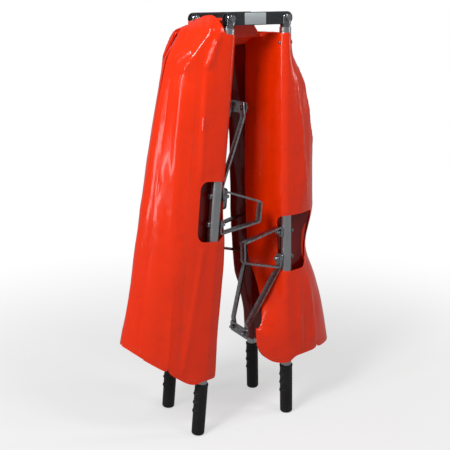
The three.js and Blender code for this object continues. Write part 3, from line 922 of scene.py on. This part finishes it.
def cloth_piece(name, points, attributes, keep, thickness=1.1):
    """A sheet from a grid of points: unused points go, its cut edges are eased, and it gets a thickness."""
    rows, columns = points.shape[:2]
    faces = grid_faces(rows, columns, keep)
    used = sorted({i for face in faces for i in face})
    place = {old: new for new, old in enumerate(used)}
    flat = points.reshape(-1, 3)[used]
    faces = [tuple(place[i] for i in face) for face in faces]
    flat = ease_rim(flat, faces)
    made = mesh_object(name, flat, faces, "cover_vinyl", 60)
    for key, values in attributes.items():
        layer = made.data.attributes.new(key, "FLOAT", "POINT")
        layer.data.foreach_set("value", values.reshape(-1)[used].astype(np.float32))
    solid = made.modifiers.new("thickness", "SOLIDIFY")
    solid.thickness = thickness * MM
    solid.offset = 0
    apply_modifiers(made)
    shade_by_angle(made.data, 55)
    return made


def ease_rim(points, faces, passes=4):
    """Rounds the small steps in a sheet's cut edges."""
    count = {}
    for face in faces:
        for a, b in zip(face, face[1:] + face[:1]):
            edge = (min(a, b), max(a, b))
            count[edge] = count.get(edge, 0) + 1
    neighbours = {}
    for (a, b), faces_there in count.items():
        if faces_there == 1:
            neighbours.setdefault(a, []).append(b)
            neighbours.setdefault(b, []).append(a)
    rim = [i for i, around in neighbours.items() if len(around) == 2]
    points = points.copy()
    for _ in range(passes):
        moved = points.copy()
        for i in rim:
            a, b = neighbours[i]
            moved[i] = 0.5 * points[i] + 0.25 * (points[a] + points[b])
        points = moved
    return points


def apply_modifiers(obj):
    graph = bpy.context.evaluated_depsgraph_get()
    seen = obj.evaluated_get(graph)
    mesh = bpy.data.meshes.new_from_object(seen, preserve_all_data_layers=True, depsgraph=graph)
    obj.modifiers.clear()
    obj.data = mesh


def columns_of(attributes, chosen):
    return {key: values[:, chosen] for key, values in attributes.items()}


# columns that close the loose sleeve round the pole, and how many of them its window opens
CLOSING_COLUMNS, OPEN_COLUMNS = 11, 6


def loose_sleeve(half, row, points, attributes, keep):
    """The sleeve round a pole as a closed tube, for the one pole that no joint ties to its wing."""
    rows = rows_down(half)
    wrap = slice(WRAP_START, POCKET_COLUMNS + 1)
    last = slice(POCKET_COLUMNS, POCKET_COLUMNS + 1)
    angle = np.linspace(-np.pi / 2, np.pi / 2, CLOSING_COLUMNS + 1)[None, 1:]
    way = ROWS[row]
    closing = half.place(
        attributes["along_mm"][:, last],
        SLEEVE_RADIUS * np.cos(angle),
        way * (POLE_Y - SLEEVE_RADIUS * np.sin(angle)),
    )
    joined = np.concatenate([points[:, wrap], closing], axis=1)
    extra = {k: np.repeat(v[:, last], CLOSING_COLUMNS, 1) for k, v in attributes.items()}
    values = {k: np.concatenate([attributes[k][:, wrap], extra[k]], axis=1) for k in attributes}
    window_top, window_bottom = WINDOW[half.side, row][:2]
    in_window = (rows[:-1] >= window_top - 1) & (rows[1:] <= window_bottom + 1)
    stay = np.ones((len(rows) - 1, joined.shape[1] - 1), bool)
    stay[:, :WRAP_COLUMNS] = keep[:, WRAP_START:POCKET_COLUMNS]
    stay[in_window, WRAP_COLUMNS : WRAP_COLUMNS + OPEN_COLUMNS] = False
    return cloth_piece(f"cover_sleeve_{row}_{half.side}", joined, values, stay)


# The cut width of each sheet between its sleeve's inner seam and its nose sheet. The front right sleeve is
# a wide loose pocket, and the back right sheet has its sleeve as a sheet of its own.
# Where a sheet would change from one body to the next. Both end before the seam or begin after it. make_loop
# works out points from them but uses none, so the sheets do not follow the bodies there.
SLEEVE_TO_WING = ((10, POLE_Y - 7), (30, POLE_Y - 21))
WING_TO_NOSE = (46, 6)


def make_loop(half):
    """The sheets of one half's loop: sleeve to wing, and wing to nose, twice. Only the loose back right
    sleeve and its side sheet are tied to bodies; the other sheets stay where they are made.
    """
    middle = (TOP + BOTTOM) / 2
    strip_body = "cover_strip_" + half.side
    for row, way in ROWS.items():
        points, attributes, rows = loop_grid(half, row)
        keep = window_keep(half, row, rows, attributes)
        tag = f"{row}_{half.side}"
        near, far = slice(0, SIDE_COLUMNS + 1), slice(SIDE_COLUMNS, None)
        pole_body, wing_body = "pole_" + tag, "cover_wing_" + tag
        side_keep = keep[:, :SIDE_COLUMNS].copy()
        separate = wing_body == OPEN_PIVOT_WING
        if separate:
            sleeve = loose_sleeve(half, row, points, attributes, keep)
            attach(sleeve, pole_body)
            side_keep[:, WRAP_START:POCKET_COLUMNS] = False
        side = cloth_piece("cover_side_" + tag, points[:, near], columns_of(attributes, near), side_keep)
        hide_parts("sleeve_" + tag, "cover_wing_" + tag)
        nose_keep = keep[:, SIDE_COLUMNS:]
        nose = cloth_piece("cover_nose_" + tag, points[:, far], columns_of(attributes, far), nose_keep)
        if separate:
            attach(side, wing_body)
        else:
            start, end = (half.vector(middle, out, way * across) for out, across in SLEEVE_TO_WING)
            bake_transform(side)
        start, end = (half.vector(middle, 0, way * across) for across in WING_TO_NOSE)
        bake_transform(nose)
        if row == "front":
            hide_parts(strip_body)


# ---- The crossing between the hinge bars ----------------------------------------------------
CROSSING_LEFT = -78.0
CROSSING_RIGHT = 124.0
# a point of the slanting right edge (right, across, height), and its slopes by height and across
CROSSING_SLANT_FROM = (33.0, -50.0, 957.0)
CROSSING_SLANT_DOWN, CROSSING_SLANT_BACK = 0.71, 0.56
# radius of each fold, and the most of the cloth to the next fold that its rounding takes, as a share
CROSSING_TURN, CROSSING_TURN_SHARE = 7.0, 0.42
CROSSING_ROWS = 34
# how far the cloth lies below its hinge lines, and its ripple's height upwards and sideways
CROSSING_BELOW, CROSSING_RIPPLE, CROSSING_SHAKE = 3.0, 3.0, 2.2
# added to the distance across, so that no seam is drawn on the crossing
BEYOND_SEAMS = 200


def crossing_right_edge(across, height):
    """The crossing's slanting right edge: further right lower down and further back, up to a limit."""
    right, from_across, from_height = CROSSING_SLANT_FROM
    lower, further_back = from_height - height, across - from_across
    slanted = right + CROSSING_SLANT_DOWN * lower + CROSSING_SLANT_BACK * further_back
    return np.minimum(slanted, CROSSING_RIGHT)


def crossing_ripple(along, across, height):
    """A wave of about 38 mm along the bars, 16 mm across them and 22 mm in height."""
    return noise.noise(Vector((along / 38, across / 16, height / 22)))


def crossing_bends():
    """Across and height of the crossing's fold lines, with its two ends."""
    bends = [joint_point(f"crossing_{i}_turn")[1:] for i in range(1, 7)]
    first = bends[0]
    return [np.array([-POLE_Y + 10, first[1]])] + bends + [np.array([-first[0], first[1]])]


def rounded_turn(before, bend, after, steps=9):
    """Points from halfway before a bend to halfway after it, with the bend itself rounded."""
    to_before, to_after = before - bend, after - bend
    length_before, length_after = np.linalg.norm(to_before), np.linalg.norm(to_after)
    u, v = to_before / length_before, to_after / length_after
    half_angle = math.acos(np.clip(u @ v, -1, 1)) / 2
    most = CROSSING_TURN_SHARE * min(length_before, length_after)
    cut = min(CROSSING_TURN / math.tan(half_angle), most)
    start, end = bend + u * cut, bend + v * cut
    far_in, far_out = bend + u * length_before / 2, bend + v * length_after / 2
    line_in = [far_in + (start - far_in) * t for t in np.linspace(0, 1, 8)]
    line_out = [end + (far_out - end) * t for t in np.linspace(0, 1, 8)]
    arc = []
    for t in np.linspace(0, 1, steps)[1:-1]:
        arc.append((1 - t) ** 2 * start + 2 * t * (1 - t) * bend + t * t * end)
    return np.array(line_in + arc + line_out), start, end


def make_crossing():
    """The cover's fan of folds between the bars, one sheet across each fold line."""
    bends = crossing_bends()
    along_bar = joint_axis("crossing_1_turn")
    middle = joint_point("crossing_1_turn")
    for i in range(1, 8):
        if i < 7:
            path, start, end = rounded_turn(bends[i - 1], bends[i], bends[i + 1])
            if i == 1:
                path = np.concatenate([np.linspace(bends[0], path[0], 4)[:-1], path])
        else:
            path = np.linspace((bends[6] + bends[7]) / 2, bends[7], 12)
        y, z = path[:, 0], path[:, 1]
        right = crossing_right_edge(y, z)
        share = np.linspace(0, 1, CROSSING_ROWS)[:, None]
        x = CROSSING_LEFT + (right - CROSSING_LEFT) * share
        ripple = np.array([[crossing_ripple(*at) for at in zip(along, y, z)] for along in x])
        fade = np.sin(np.pi * np.linspace(0.12, 0.88, len(path)))
        points = np.zeros((CROSSING_ROWS, len(path), 3))
        points[..., 0] = x
        points[..., 1] = y + CROSSING_SHAKE * ripple * fade
        slope = (x - middle[0]) * along_bar[2] / along_bar[0]
        points[..., 2] = z + slope - CROSSING_BELOW + CROSSING_RIPPLE * ripple
        length = np.concatenate([[0], np.cumsum(np.hypot(np.diff(y), np.diff(z)))])
        attributes = {
            "along_mm": x,
            "across_mm": np.broadcast_to(length + BEYOND_SEAMS, x.shape),
            "hem_mm": np.minimum(x - CROSSING_LEFT, right - x),
        }
        name = f"cover_fold_{i}"
        piece = cloth_piece(name, points * MM, attributes, None)
        if i == 7:
            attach(piece, "crossing_6")
            continue
        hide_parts(f"cover_crossing_{i}")
        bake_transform(piece)


make_camera()
make_world()
make_softbox("key_light", -62, 44, 2.6, (0.5, 1.0), 42)
make_softbox("fill_light", 24, 48, 2.8, (0.6, 1.0), 15)
make_softbox("left_strip", -80, 22, 2.2, (0.25, 1.6), 9)
make_softbox("right_strip", 66, 24, 2.2, (0.25, 1.6), 8)
make_floor()

dress_hardware()
for half in HALVES.values():
    for row in ROWS:
        pole(half, row)
        grip(half, row)
        cover_screws(half, row)
    make_loop(half)
make_crossing()
